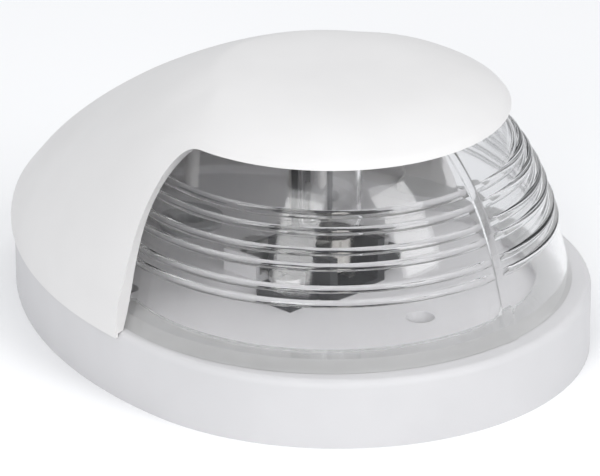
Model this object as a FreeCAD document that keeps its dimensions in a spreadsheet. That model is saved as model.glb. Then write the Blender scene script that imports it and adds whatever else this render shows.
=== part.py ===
import FreeCAD, Part
import math
import os
import Sketcher

Vector = FreeCAD.Vector
Placement = FreeCAD.Placement
Rotation = FreeCAD.Rotation
UP = Vector(0, 0, 1)

# A deck-mounted bow navigation light: an egg-shaped base, a lift-off cover made of a white hood and
# two clear lens halves bonded at the bow, and a festoon bulb standing in a moulded holder.
# Millimetres. +X to the bow, +Y to port, +Z up; the origin is under the middle of the light, on the
# boat's deck. Heights named rim_* are above the deck; profile heights are above the base's rim.
SIZES = {
    # gaps and allowances used all through
    "fit_gap": 0.05,            # between parts that meet face to face
    "hood_gap": 0.1,            # between the hood and what it sits on
    "overlap": 1.0,             # how far joined blocks and cutters run into each other
    "cutter": 60.0,             # longer than any hole
    "beyond": 80.0,             # wider than the light
    # plan of the base: a half circle at the bow, two flank arcs and a tail arc
    "axis_x": 9.75,             # the lens axis, ahead of the middle
    "front_x": 11.35,           # centre of the bow half circle
    "half_width": 39.75,
    "base_tail": 60.2,          # lens axis to the base's tail
    "tail_radius": 25.4,
    # base moulding
    "rim_height": 11.0,
    "rim_round": 1.2,
    "base_wall": 2.4,
    "gasket_seat": 5.2,         # width of wall over the gasket
    "gasket_thick": 1.6,
    "deck_under": 7.3,
    "floor_height": 9.5,
    "floor_inset": 8.2,
    "seal_inset": 3.9,
    "seal_width": 1.8,
    "seal_depth": 1.3,
    "seal_stand": 1.25,
    # deck screws, on one circle
    "bolt_x": 1.75,
    "bolt_circle": 27.0,
    "bolt_hole": 2.2,
    "boss_radius": 4.4,
    "gasket_bolt_hole": 2.5,
    # cable entry
    "cable_x": -22.0,
    "cable_hole": 4.0,
    "cable_bore": 2.6,
    "cable_boss": 6.0,
    "gasket_cable_hole": 4.5,
    "grommet_flange": 5.4,
    "grommet_lip": 1.0,
    # hood
    "skirt_proud": 0.65,
    "skirt_drop": 0.6,
    "skirt_straight": 4.0,      # upright part of the skirt, then its fade into the side
    "skirt_fade": 6.0,
    "side_draw": 0.318,         # share of the half width lost at the cap
    "side_power": 1.757,
    "tail_draw": 0.54,
    "tail_power": 1.704,
    "cap_under": 28.8,          # cap's underside above the rim
    "cap_edge": 1.15,
    "dome_rise": 4.4,
    "dome_power": 3.6,
    "dome_back": 7.0,           # how far the dome leans aft
    "hood_side_wall": 1.8,
    "hood_top_wall": 1.4,
    "cut_back": 7.2,            # hood's front edge aft of the lens axis
    "cut_turn": 12.0,           # where that edge starts to curve forward
    "cut_reach": 7.0,
    "cut_power": 3.0,           # 2 would make the curve a quarter ellipse
    "cut_steps": 12.0,
    "post_radius": 1.3,
    "post_boss": 2.0,
    "peg_radius": 0.9,
    "peg_gap": 0.08,
    "peg_depth": 1.7,
    "socket_depth": 1.9,
    "side_post_x": -16.0,
    "side_post_y": 24.0,
    "tail_post_x": -31.5,
    "tail_post_y": 9.0,
    # lens
    "lens_radius": 38.0,
    "lens_taper": 0.387,
    "lens_bulge": 0.034,
    "lens_shoulder": 0.055,
    "lens_wall": 2.0,
    "lens_wall_growth": 0.5,    # share that the level wall gains by the top
    "lens_gap": 0.2,            # hood to the lens's beads
    "lens_top": 29.8,
    "lens_foot": 31.9,
    "lens_foot_thick": 1.4,
    "lens_sweep": 112.5,
    "bead_radius": 0.55,
    "bead_pitch": 2.1,
    "rib_half": 1.3,
    "rib_proud": 0.3,
    "rib_foot_half": 2.2,
    "rib_foot_proud": 0.5,
    "rib_foot_height": 5.0,
    # bulb, 28 mm festoon
    "bulb_low": 10.6,
    "bulb_length": 28.0,
    "bulb_cap_radius": 3.9,
    "bulb_cap_length": 5.0,
    "bulb_tip": 2.0,
    "bulb_tip_radius": 1.2,
    "bulb_cap_wall": 0.35,
    "glass_radius": 5.0,
    "glass_wall": 0.6,
    "glass_shoulder": 2.2,
    "glass_corner": 0.4,
    "glass_bury": 3.0,          # length of neck inside each cap
    "filament_radius": 0.45,
    "filament_length": 8.0,
    "lead_radius": 0.2,
    # lamp holder and contacts
    "holder_half": 6.2,
    "holder_front": 6.0,
    "holder_back": 7.4,
    "holder_height": 7.0,
    "holder_floor": 0.8,
    "cheek_gap": 4.6,
    "seat_back": 4.4,
    "spine_deep": 1.6,
    "spine_half": 1.0,
    "ear_half": 12.6,
    "ear_deep": 3.6,
    "ear_thick": 2.5,
    "strip_thick": 0.5,
    "strip_half": 3.0,
    "leaf_front": 2.6,
    "leaf_drop": 0.3,
    "leaf_back": 4.2,           # lower leaf aft of the lens axis
    "tab_inner": 0.5,           # centreline to the upper tab's inner edge
    "tab_clear": 0.2,           # lower tab to the riser beside it
    "notch_radius": 1.8,
    "screw_radius": 1.5,
    "screw_head": 2.8,
    "screw_head_height": 1.8,
    "screw_tip": 6.5,
    "slot_width": 0.7,
    "slot_depth": 0.8,
    "holder_screw_y": 9.6,
    # terminal block, behind the holder
    "block_front": 8.2,
    "block_back": 15.4,
    "block_half": 8.0,
    "block_wall": 0.8,
    "block_wall_height": 3.4,
    "block_barrier": 0.7,       # its starboard face, from the centreline
    "tab_end": 14.9,
    "terminal_back": 11.7,
    "terminal_y": 4.1,
    "washer_half": 2.9,
    "washer_thick": 0.8,
    "rivet_radius": 0.5,
    "rivet_head": 0.9,
    "rivet_head_height": 0.5,
}

BEAD_BANDS = (10.2, 15.4, 20.2)     # lower bead of each pair, above the rim
RIVET_HEIGHTS = (23.0, 33.0)
SECTION_HEIGHTS = (0.0, 2.5, 4.5, 6.5, 9.0, 12.0, 16.0, 20.0, 24.0, 27.5)
DOME_STEPS = (0.93, 0.8, 0.64, 0.46, 0.28, 0.12)

doc = FreeCAD.newDocument("NavigationLight")
sheet = doc.addObject("Spreadsheet::Sheet", "Sizes")
for row, (alias, value) in enumerate(SIZES.items(), start=1):
    sheet.set("A%d" % row, alias)
    sheet.set("B%d" % row, str(value))
    sheet.setAlias("B%d" % row, alias)
doc.recompute()

nodes = []


def size(alias):
    return float(sheet.get(alias))


def publish(item, label):
    item.Label = label
    nodes.append(item)
    return item


# --- primitives bound to the sheet -----------------------------------------------------------------


def primitive(kind, name, at, sizes):
    item = doc.addObject("Part::" + kind, name)
    for prop, expression in sizes.items():
        item.setExpression(prop, expression)
    for axis, expression in zip("xyz", at):
        item.setExpression("Placement.Base." + axis, expression)
    return item


def box(name, at, length, width, height):
    return primitive("Box", name, at, {"Length": length, "Width": width, "Height": height})


def cylinder(name, at, radius, height):
    return primitive("Cylinder", name, at, {"Radius": radius, "Height": height})


def lie_along_x(item):
    item.Placement = Placement(item.Placement.Base, Rotation(Vector(0, 1, 0), 90))
    return item


def fuse(name, items):
    item = doc.addObject("Part::MultiFuse", name)
    item.Shapes = items
    return item


def cut(name, base, tools):
    item = doc.addObject("Part::Cut", name)
    item.Base = base
    item.Tool = tools[0] if len(tools) == 1 else fuse(name + "_tools", tools)
    return item


def group(name, items):
    item = doc.addObject("Part::Compound", name)
    item.Links = items
    return item


def feature(name, shape):
    item = doc.addObject("Part::Feature", name)
    item.Shape = shape
    return item


# --- sketches ---------------------------------------------------------------------------------------


def sketch_at(body, name, height):
    plane = [p for p in body.Origin.OriginFeatures if p.Role == "XY_Plane"][0]
    sketch = body.newObject("Sketcher::SketchObject", name)
    sketch.AttachmentSupport = [(plane, "")]
    sketch.MapMode = "FlatFace"
    sketch.setExpression("AttachmentOffset.Base.z", height)
    return sketch


def bind_constraint(sketch, constraint, expression):
    index = sketch.addConstraint(constraint)
    sketch.setExpression("Constraints[%d]" % index, expression)


def arc(center_x, center_y, radius, start, end):
    circle = Part.Circle(Vector(center_x, center_y, 0), UP, radius)
    return Part.ArcOfCircle(circle, start, end)


def flank_radius(reach, half_width, tail_radius):
    """Radius of the arc that runs from the widest point, parallel to X there, into the tail arc."""
    return (reach**2 + half_width**2 - tail_radius**2) / (2 * (half_width - tail_radius))


def egg_arcs(front_x, half_width, tail_x, tail_radius):
    reach = front_x - tail_x
    flank = flank_radius(reach, half_width, tail_radius)
    turn = math.atan2(flank - half_width, -reach)
    return [
        arc(front_x, 0, half_width, -math.pi / 2, math.pi / 2),
        arc(front_x, half_width - flank, flank, math.pi / 2, turn),
        arc(tail_x, 0, tail_radius, turn, 2 * math.pi - turn),
        arc(front_x, flank - half_width, flank, 2 * math.pi - turn, 3 * math.pi / 2),
    ]


def add_egg(sketch, inset):
    """The base's outline moved inwards by inset, fully constrained."""
    tail_x = size("axis_x") - size("base_tail") + size("tail_radius")
    arcs = egg_arcs(size("front_x"), size("half_width"), tail_x, size("tail_radius"))
    first = sketch.addGeometry(arcs, False)[0]
    front, port, tail, starboard = first, first + 1, first + 2, first + 3
    for before, after in ((front, port), (port, tail), (tail, starboard), (starboard, front)):
        sketch.addConstraint(Sketcher.Constraint("Tangent", before, 2, after, 1))
    for end in (1, 2):
        sketch.addConstraint(Sketcher.Constraint("Vertical", front, end, front, 3))
    for geo in (front, tail):
        sketch.addConstraint(Sketcher.Constraint("PointOnObject", geo, 3, -1))
    bind_constraint(
        sketch,
        Sketcher.Constraint("DistanceX", -1, 1, front, 3, size("front_x")),
        "Sizes.front_x",
    )
    bind_constraint(
        sketch,
        Sketcher.Constraint("DistanceX", -1, 1, tail, 3, tail_x),
        "Sizes.axis_x - Sizes.base_tail + Sizes.tail_radius",
    )
    bind_constraint(
        sketch, Sketcher.Constraint("Radius", front, size("half_width")), "Sizes.half_width - (%s)" % inset
    )
    bind_constraint(
        sketch, Sketcher.Constraint("Radius", tail, size("tail_radius")), "Sizes.tail_radius - (%s)" % inset
    )


def add_circles(sketch, places, radius):
    """One circle at each (x, y) pair of expressions."""
    for x, y in places:
        geo = sketch.addGeometry(Part.Circle(Vector(1, 1, 0), UP, 2), False)
        bind_constraint(sketch, Sketcher.Constraint("DistanceX", -1, 1, geo, 3, 1), x)
        if y == "0":
            sketch.addConstraint(Sketcher.Constraint("PointOnObject", geo, 3, -1))
        else:
            bind_constraint(sketch, Sketcher.Constraint("DistanceY", -1, 1, geo, 3, 1), y)
        bind_constraint(sketch, Sketcher.Constraint("Radius", geo, 2), radius)


def pad(body, name, sketch, length):
    item = body.newObject("PartDesign::Pad", name)
    item.Profile = sketch
    item.setExpression("Length", length)
    doc.recompute()
    return item


def pocket(body, name, sketch, length, upward=False):
    """Cut downwards from the sketch, or upwards, and make sure that something was removed."""
    before = body.Shape.Volume
    item = body.newObject("PartDesign::Pocket", name)
    item.Profile = sketch
    item.Reversed = upward
    item.setExpression("Length", length)
    doc.recompute()
    if not body.Shape.Volume < before - 1e-3:
        raise RuntimeError(name + " cuts nothing")
    return item


BOLTS = (
    ("Sizes.bolt_x + Sizes.bolt_circle", "0"),
    ("Sizes.bolt_x - Sizes.bolt_circle / 2", "Sizes.bolt_circle * sqrt(3) / 2"),
    ("Sizes.bolt_x - Sizes.bolt_circle / 2", "-Sizes.bolt_circle * sqrt(3) / 2"),
)
CABLE = (("Sizes.cable_x", "0"),)
POSTS = (
    ("Sizes.side_post_x", "Sizes.side_post_y"),
    ("Sizes.side_post_x", "-Sizes.side_post_y"),
    ("Sizes.tail_post_x", "Sizes.tail_post_y"),
    ("Sizes.tail_post_x", "-Sizes.tail_post_y"),
)
HOLDER_SCREWS = (("Sizes.axis_x", "Sizes.holder_screw_y"), ("Sizes.axis_x", "-Sizes.holder_screw_y"))
TERMINALS = (
    ("Sizes.axis_x - Sizes.terminal_back", "Sizes.terminal_y"),
    ("Sizes.axis_x - Sizes.terminal_back", "-Sizes.terminal_y"),
)


# --- base and what is fixed to it -------------------------------------------------------------------


def make_base():
    body = doc.addObject("PartDesign::Body", "Base")
    outline = sketch_at(body, "BaseOutline", "0")
    add_egg(outline, "0")
    block = pad(body, "BaseBlock", outline, "Sizes.rim_height")
    top = size("rim_height")
    rim = [
        "Edge%d" % n
        for n, edge in enumerate(block.Shape.Edges, start=1)
        if all(abs(v.Z - top) < 1e-6 for v in edge.Vertexes)
    ]
    rounding = body.newObject("PartDesign::Fillet", "RimRound")
    rounding.Base = (block, rim)
    rounding.setExpression("Radius", "Sizes.rim_round")
    doc.recompute()

    recess = sketch_at(body, "GasketOutline", "0")
    add_egg(recess, "Sizes.base_wall")
    pocket(body, "GasketRecess", recess, "Sizes.gasket_thick", upward=True)
    hollow = sketch_at(body, "HollowOutline", "0")
    add_egg(hollow, "Sizes.gasket_seat")
    pocket(body, "Hollow", hollow, "Sizes.deck_under", upward=True)

    for name, places, radius in (
        ("BoltBosses", BOLTS, "Sizes.boss_radius"),
        ("CableBoss", CABLE, "Sizes.cable_boss"),
        ("PostBosses", POSTS, "Sizes.post_boss"),
    ):
        bosses = sketch_at(body, name + "Sketch", "Sizes.gasket_thick")
        add_circles(bosses, places, radius)
        pad(body, name, bosses, "Sizes.floor_height - Sizes.gasket_thick")

    floor = sketch_at(body, "FloorOutline", "Sizes.rim_height")
    add_egg(floor, "Sizes.floor_inset")
    pocket(body, "Floor", floor, "Sizes.rim_height - Sizes.floor_height")
    groove = sketch_at(body, "GrooveOutline", "Sizes.rim_height")
    add_egg(groove, "Sizes.seal_inset")
    add_egg(groove, "Sizes.seal_inset + Sizes.seal_width")
    pocket(body, "SealGroove", groove, "Sizes.seal_depth")

    for name, places, radius, depth in (
        ("BoltHoles", BOLTS, "Sizes.bolt_hole", "Sizes.floor_height"),
        ("CableHole", CABLE, "Sizes.cable_hole", "Sizes.floor_height"),
        ("ScrewHoles", HOLDER_SCREWS + TERMINALS, "Sizes.screw_radius", "Sizes.floor_height"),
        ("PegSockets", POSTS, "Sizes.peg_radius + Sizes.peg_gap", "Sizes.socket_depth"),
    ):
        holes = sketch_at(body, name + "Sketch", "Sizes.floor_height")
        add_circles(holes, places, radius)
        pocket(body, name, holes, depth)
    return publish(body, "base")


def make_gasket():
    body = doc.addObject("PartDesign::Body", "Gasket")
    outline = sketch_at(body, "GasketPlan", "0")
    add_egg(outline, "Sizes.base_wall + Sizes.fit_gap")
    pad(body, "GasketSheet", outline, "Sizes.gasket_thick")
    for name, places, radius in (
        ("GasketBoltHoles", BOLTS, "Sizes.gasket_bolt_hole"),
        ("GasketCableHole", CABLE, "Sizes.gasket_cable_hole"),
    ):
        holes = sketch_at(body, name + "Sketch", "Sizes.gasket_thick")
        add_circles(holes, places, radius)
        pocket(body, name, holes, "Sizes.gasket_thick")
    return publish(body, "mounting_gasket")


def make_seal():
    body = doc.addObject("PartDesign::Body", "Seal")
    ring = sketch_at(body, "SealPlan", "Sizes.rim_height - Sizes.seal_depth")
    add_egg(ring, "Sizes.seal_inset")
    add_egg(ring, "Sizes.seal_inset + Sizes.seal_width")
    pad(body, "SealCord", ring, "Sizes.seal_stand")
    return publish(body, "cover_seal")


def make_grommet():
    """Rubber grommet snapped into the cable hole: flange above, lip below the cable boss."""
    x = "Sizes.cable_x"
    low = "Sizes.gasket_thick"
    floor = "Sizes.floor_height"
    sleeve = cylinder("GrommetSleeve", (x, "0", low), "Sizes.cable_hole", floor + " - " + low)
    flange = cylinder("GrommetFlange", (x, "0", floor), "Sizes.grommet_flange", "Sizes.grommet_lip")
    bore = cylinder("GrommetBore", (x, "0", "0"), "Sizes.cable_bore", "Sizes.cutter")
    return publish(cut("Grommet", fuse("GrommetBlank", [sleeve, flange]), [bore]), "cable_grommet")


def rivet_holes(name):
    """Cutters along X for the rivets that hold the upper contact to the spine."""
    back = "Sizes.axis_x - Sizes.holder_back - Sizes.block_back"
    tools = [
        cylinder(name + "RivetHole%d" % n, (back, "0", str(z)), "Sizes.rivet_radius", "Sizes.cutter")
        for n, z in enumerate(RIVET_HEIGHTS)
    ]
    return [lie_along_x(tool) for tool in tools]


def make_holder():
    """Dark moulded holder: a foot open to the bow, with screw ears, and a spine up the back."""
    x = "Sizes.axis_x"
    floor = "Sizes.floor_height"
    strip_z = floor + " + Sizes.holder_floor"
    foot = box(
        "HolderFoot",
        (x + " - Sizes.holder_back", "-Sizes.holder_half", floor),
        "Sizes.holder_back + Sizes.holder_front",
        "2 * Sizes.holder_half",
        "Sizes.holder_height",
    )
    ears = box(
        "HolderEars",
        (x + " - Sizes.ear_deep", "-Sizes.ear_half", floor),
        "2 * Sizes.ear_deep",
        "2 * Sizes.ear_half",
        "Sizes.ear_thick",
    )
    spine = box(
        "HolderSpine",
        (x + " - Sizes.holder_back", "-Sizes.spine_half", floor),
        "Sizes.spine_deep",
        "2 * Sizes.spine_half",
        "Sizes.bulb_low + Sizes.bulb_length - Sizes.leaf_drop - " + floor,
    )
    seat = box(
        "HolderSeat",
        (x + " - Sizes.seat_back", "-Sizes.cheek_gap", strip_z),
        "Sizes.holder_front + Sizes.seat_back + Sizes.overlap",
        "2 * Sizes.cheek_gap",
        "Sizes.holder_height",
    )
    channel = box(
        "HolderChannel",
        (x + " - Sizes.holder_back - Sizes.overlap", "-2 * Sizes.strip_half", strip_z),
        "Sizes.holder_back - Sizes.leaf_front + Sizes.overlap",
        "2 * Sizes.strip_half - Sizes.tab_inner",
        "Sizes.strip_thick + Sizes.fit_gap",
    )
    holes = [
        cylinder("HolderHole%d" % n, (hx, hy, "0"), "Sizes.screw_radius", "Sizes.cutter")
        for n, (hx, hy) in enumerate(HOLDER_SCREWS)
    ]
    blank = fuse("HolderBlank", [foot, ears, spine])
    return publish(cut("Holder", blank, [seat, channel] + holes + rivet_holes("Spine")), "lamp_holder")


def make_terminal_block():
    """White block behind the holder: a plate under the two tabs, with walls beside and between them."""
    x = "Sizes.axis_x - Sizes.block_back"
    floor = "Sizes.floor_height"
    length = "Sizes.block_back - Sizes.block_front"
    near, far = "-Sizes.block_half", "Sizes.block_half - Sizes.block_wall"
    width = "2 * Sizes.block_half"
    plate = box("BlockPlate", (x, near, floor), length, width, "Sizes.holder_floor")
    walls = [
        box("BlockWall%d" % n, (x, y, floor), length, "Sizes.block_wall", "Sizes.block_wall_height")
        for n, y in enumerate((near, "-Sizes.block_barrier", far))
    ]
    holes = [
        cylinder("BlockHole%d" % n, (hx, hy, "0"), "Sizes.screw_radius", "Sizes.cutter")
        for n, (hx, hy) in enumerate(TERMINALS)
    ]
    return publish(cut("Block", fuse("BlockBlank", [plate] + walls), holes), "terminal_block")


def make_contacts():
    """Two spring strips with notches open to the bow; each ends in a tab on the terminal block."""
    x = "Sizes.axis_x"
    thick = "Sizes.strip_thick"
    tab_z = "Sizes.floor_height + Sizes.holder_floor"
    tab_x = x + " - Sizes.tab_end"
    low_leaf = box(
        "LowLeaf",
        (x + " - Sizes.leaf_back", "-Sizes.strip_half", tab_z),
        "Sizes.leaf_back + Sizes.leaf_front",
        "2 * Sizes.strip_half",
        thick,
    )
    low_tab = box(
        "LowTab",
        (tab_x, "-2 * Sizes.strip_half", tab_z),
        "Sizes.tab_end - Sizes.leaf_back + Sizes.overlap",
        "2 * Sizes.strip_half - Sizes.spine_half - Sizes.tab_clear",
        thick,
    )
    top_z = "Sizes.bulb_low + Sizes.bulb_length - Sizes.leaf_drop"
    top_leaf = box(
        "TopLeaf",
        (x + " - Sizes.holder_back - " + thick, "-Sizes.strip_half", top_z),
        "Sizes.holder_back + Sizes.leaf_front + " + thick,
        "2 * Sizes.strip_half",
        thick,
    )
    riser = box(
        "Riser",
        (x + " - Sizes.holder_back - " + thick, "-Sizes.spine_half", tab_z),
        thick,
        "2 * Sizes.spine_half",
        top_z + " - (" + tab_z + ") + " + thick,
    )
    top_tab = box(
        "TopTab",
        (tab_x, "Sizes.tab_inner", tab_z),
        "Sizes.tab_end - Sizes.holder_back",
        "2 * Sizes.strip_half - Sizes.tab_inner",
        thick,
    )
    for label, solids, place in (
        ("contact_lower", [low_leaf, low_tab], TERMINALS[1]),
        ("contact_upper", [top_leaf, riser, top_tab], TERMINALS[0]),
    ):
        notch = cylinder(label + "_notch", (x, "0", "0"), "Sizes.notch_radius", "Sizes.cutter")
        mouth = box(
            label + "_mouth",
            (x, "-Sizes.notch_radius", "0"),
            "Sizes.cutter",
            "2 * Sizes.notch_radius",
            "Sizes.cutter",
        )
        hole = cylinder(label + "_hole", (place[0], place[1], "0"), "Sizes.screw_radius", "Sizes.cutter")
        tools = [notch, mouth, hole] + rivet_holes(label)
        publish(cut(label, fuse(label + "_strip", solids), tools), label)


def screw(name, place, head_z):
    """Pan-head self-tapping screw, down through the floor."""
    x, y = place
    tip = "Sizes.screw_tip"
    shank = cylinder(name + "Shank", (x, y, tip), "Sizes.screw_radius", head_z + " - " + tip)
    head = cylinder(name + "Head", (x, y, head_z), "Sizes.screw_head", "Sizes.screw_head_height")
    slot = box(
        name + "Slot",
        (
            x + " - Sizes.slot_width / 2",
            y + " - Sizes.screw_head",
            head_z + " + Sizes.screw_head_height - Sizes.slot_depth",
        ),
        "Sizes.slot_width",
        "2 * Sizes.screw_head",
        "Sizes.overlap",
    )
    return cut(name, fuse(name + "Blank", [shank, head]), [slot])


def make_fasteners():
    ear_top = "Sizes.floor_height + Sizes.ear_thick"
    holder_screws = [screw("HolderScrew%d" % n, place, ear_top) for n, place in enumerate(HOLDER_SCREWS)]
    publish(group("HolderScrews", holder_screws), "holder_screws")

    tab_top = "Sizes.floor_height + Sizes.holder_floor + Sizes.strip_thick"
    washer_top = tab_top + " + Sizes.washer_thick"
    terminal_screws = [screw("TerminalScrew%d" % n, place, washer_top) for n, place in enumerate(TERMINALS)]
    publish(group("TerminalScrews", terminal_screws), "terminal_screws")
    washers = []
    for n, (x, y) in enumerate(TERMINALS):
        side = "2 * Sizes.washer_half"
        plate = box(
            "WasherPlate%d" % n,
            (x + " - Sizes.washer_half", y + " - Sizes.washer_half", tab_top),
            side,
            side,
            "Sizes.washer_thick",
        )
        hole = cylinder("WasherHole%d" % n, (x, y, "0"), "Sizes.screw_radius", "Sizes.cutter")
        washers.append(cut("Washer%d" % n, plate, [hole]))
    publish(group("Washers", washers), "terminal_washers")

    rivets = []
    back = "Sizes.axis_x - Sizes.holder_back"
    for n, z in enumerate(RIVET_HEIGHTS):
        shank = cylinder(
            "RivetShank%d" % n,
            (back + " - Sizes.strip_thick", "0", str(z)),
            "Sizes.rivet_radius",
            "Sizes.spine_deep + Sizes.strip_thick",
        )
        rear = cylinder(
            "RivetRear%d" % n,
            (back + " - Sizes.strip_thick - Sizes.rivet_head_height", "0", str(z)),
            "Sizes.rivet_head",
            "Sizes.rivet_head_height",
        )
        face = cylinder(
            "RivetFace%d" % n,
            (back + " + Sizes.spine_deep", "0", str(z)),
            "Sizes.rivet_head",
            "Sizes.rivet_head_height",
        )
        rivets.append(fuse("Rivet%d" % n, [lie_along_x(item) for item in (shank, rear, face)]))
    publish(group("Rivets", rivets), "contact_rivets")


# --- bulb -------------------------------------------------------------------------------------------


def turned(points):
    """A closed outline of (radius, height) points revolved about the lens axis."""
    corners = [Vector(r, 0, z) for r, z in points]
    face = Part.Face(Part.makePolygon(corners + corners[:1]))
    solid = face.revolve(Vector(), UP, 360)
    solid.translate(Vector(size("axis_x"), 0, 0))
    return solid


def bulb_cap(z_end, direction):
    """Hollow cap: a cone at the contact end, then a cylinder round the glass neck."""
    wall = size("bulb_cap_wall")
    outer = size("bulb_cap_radius")
    tip = size("bulb_tip")
    length = tip + size("bulb_cap_length")
    outline = [
        (0, 0),
        (size("bulb_tip_radius"), 0),
        (outer, tip),
        (outer, length),
        (outer - wall, length),
        (outer - wall, tip + wall),
        (0, tip + wall),
    ]
    return turned([(r, z_end + direction * z) for r, z in outline])


def make_bulb():
    low = size("bulb_low")
    high = low + size("bulb_length")
    publish(feature("BulbCapLower", bulb_cap(low, 1)), "bulb_cap_lower")
    publish(feature("BulbCapUpper", bulb_cap(high, -1)), "bulb_cap_upper")

    neck = size("bulb_cap_radius") - size("bulb_cap_wall")
    bulge = size("glass_radius")
    wall = size("glass_wall")
    cap = size("bulb_tip") + size("bulb_cap_length")
    shoulder = size("glass_shoulder")
    corner = size("glass_corner")
    bury = size("glass_bury")
    outer = [
        (neck, low + cap - bury),
        (neck, low + cap),
        (bulge - corner, low + cap + shoulder / 2),
        (bulge, low + cap + shoulder),
        (bulge, high - cap - shoulder),
        (bulge - corner, high - cap - shoulder / 2),
        (neck, high - cap),
        (neck, high - cap + bury),
    ]
    inner = [(r - wall, z) for r, z in reversed(outer)]
    publish(feature("BulbGlass", turned(outer + inner)), "bulb_glass")

    middle = low + size("bulb_length") / 2
    half = size("filament_length") / 2
    axis = "Sizes.axis_x"
    low_end = (axis, "0", str(middle - half))
    filament = cylinder("Filament", low_end, "Sizes.filament_radius", "Sizes.filament_length")
    publish(filament, "bulb_filament")
    inside = size("bulb_tip") + size("bulb_cap_wall")
    lead = "Sizes.lead_radius"
    reach = middle - half - low - inside
    leads = [
        cylinder("LeadLower", (axis, "0", str(low + inside)), lead, str(reach)),
        cylinder("LeadUpper", (axis, "0", str(middle + half)), lead, str(reach)),
    ]
    publish(group("Leads", leads), "bulb_leads")


# --- cover ------------------------------------------------------------------------------------------


def smooth_step(value):
    value = min(1.0, max(0.0, value))
    return value * value * (3 - 2 * value)


def skirt(z):
    """How far the hood's short upright skirt stands out of the sloping sides."""
    return size("skirt_proud") * (1 - smooth_step((z - size("skirt_straight")) / size("skirt_fade")))


def cap_level():
    return size("cap_under") + size("cap_edge")


def hood_plan(z, top_wall=0.0, side_wall=0.0):
    """Half width and tail reach of the hood at a height above the rim, less the walls if inside."""
    share = min(1.0, max(0.0, (z + top_wall) / cap_level()))
    half = size("half_width") * (1 - size("side_draw") * share ** size("side_power"))
    reach = size("base_tail") * (1 - size("tail_draw") * share ** size("tail_power"))
    stand = skirt(z) - side_wall
    return half + stand, reach + stand, share


def egg_wire(front_x, half, reach, z):
    """An egg outline at a height above the rim, for a loft; reach is from the lens axis aft."""
    tail_radius = size("tail_radius") * half / size("half_width")
    tail_x = size("axis_x") - reach + tail_radius
    wire = Part.Wire([curve.toShape() for curve in egg_arcs(front_x, half, tail_x, tail_radius)])
    wire.translate(Vector(0, 0, size("rim_height") + z))
    return wire


def side_section(z, top_wall=0.0, side_wall=0.0):
    half, reach, share = hood_plan(z, top_wall, side_wall)
    lead = (size("front_x") - size("axis_x")) * (1 - share)
    return egg_wire(size("axis_x") + lead, half, reach, z)


def dome_section(step, level, side_wall=0.0):
    """A section of the cap's dome, shrunk by step from its rim at a level above the base's rim."""
    half, reach, _ = hood_plan(cap_level(), 0.0, side_wall)
    z = level + size("dome_rise") * (1 - step ** size("dome_power"))
    return egg_wire(size("axis_x"), half * step, reach * step + size("dome_back") * step * (1 - step), z)


def hood_outside():
    heights = (-size("skirt_drop"),) + SECTION_HEIGHTS + (cap_level(),)
    sections = [side_section(z) for z in heights]
    sections += [dome_section(step, cap_level()) for step in DOME_STEPS]
    return Part.makeLoft(sections, True, True)


def hood_inside():
    walls = (size("hood_top_wall"), size("hood_side_wall"))
    heights = (-size("overlap"),) + SECTION_HEIGHTS + (size("cap_under"),)
    sections = [side_section(z, *walls) for z in heights]
    sections += [dome_section(step, size("cap_under"), size("hood_side_wall")) for step in DOME_STEPS]
    return Part.makeLoft(sections, True, True)


def front_opening():
    """The space in front of the hood's edge and under its cap, full width."""
    rim = size("rim_height")
    x = size("axis_x")
    back = x - size("cut_back")
    turn = rim + size("cut_turn")
    top = rim + size("cap_under")
    centre = back + size("cut_reach")
    rise = top - turn
    low = 0.0
    ahead = x + size("beyond")
    share = 2 / size("cut_power")
    steps = int(size("cut_steps"))
    points = [Vector(back, 0, turn)]
    for n in range(1, steps):
        angle = math.pi / 2 * n / steps
        ahead_of_back = size("cut_reach") * (1 - math.cos(angle) ** share)
        points.append(Vector(back + ahead_of_back, 0, turn + rise * math.sin(angle) ** share))
    points.append(Vector(centre, 0, top))
    curve = Part.BSplineCurve()
    curve.interpolate(Points=points, InitialTangent=UP, FinalTangent=Vector(1, 0, 0))
    edges = [
        Part.makeLine(Vector(back, 0, low), Vector(back, 0, turn)),
        curve.toShape(),
        Part.makeLine(Vector(centre, 0, top), Vector(ahead, 0, top)),
        Part.makeLine(Vector(ahead, 0, top), Vector(ahead, 0, low)),
        Part.makeLine(Vector(ahead, 0, low), Vector(back, 0, low)),
    ]
    face = Part.Face(Part.Wire(edges))
    face.translate(Vector(0, -size("beyond"), 0))
    return face.extrude(Vector(0, 2 * size("beyond"), 0))


def post_places():
    side = (size("side_post_x"), size("side_post_y"))
    tail = (size("tail_post_x"), size("tail_post_y"))
    return [(x, y * hand) for x, y in (side, tail) for hand in (1, -1)]


def base_prism(grow, height):
    """The base's outline moved outwards by grow, as a block from the deck up."""
    tail_x = size("axis_x") - size("base_tail") + size("tail_radius")
    plan = egg_arcs(size("front_x"), size("half_width") + grow, tail_x, size("tail_radius") + grow)
    return Part.Face(Part.Wire([curve.toShape() for curve in plan])).extrude(Vector(0, 0, height))


def make_hood():
    outside = hood_outside()
    gap = size("hood_gap")
    lens = lens_room(size("bead_radius") + size("lens_gap"))
    shell = outside.cut([hood_inside(), lens, front_opening()])
    floor = size("floor_height") + gap
    depth = size("peg_depth")
    for x, y in post_places():
        post = Part.makeCylinder(size("post_radius"), size("cutter"), Vector(x, y, floor)).common(outside)
        peg = Part.makeCylinder(size("peg_radius"), depth + size("overlap"), Vector(x, y, floor - depth))
        shell = shell.fuse([post, peg])
    rim = size("rim_height")
    wall_room = base_prism(gap, rim + size("fit_gap"))
    well = base_prism(-size("floor_inset") - 2 * gap, rim + size("overlap"))
    return publish(feature("Hood", shell.cut(wall_room.cut(well))), "hood")


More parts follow.
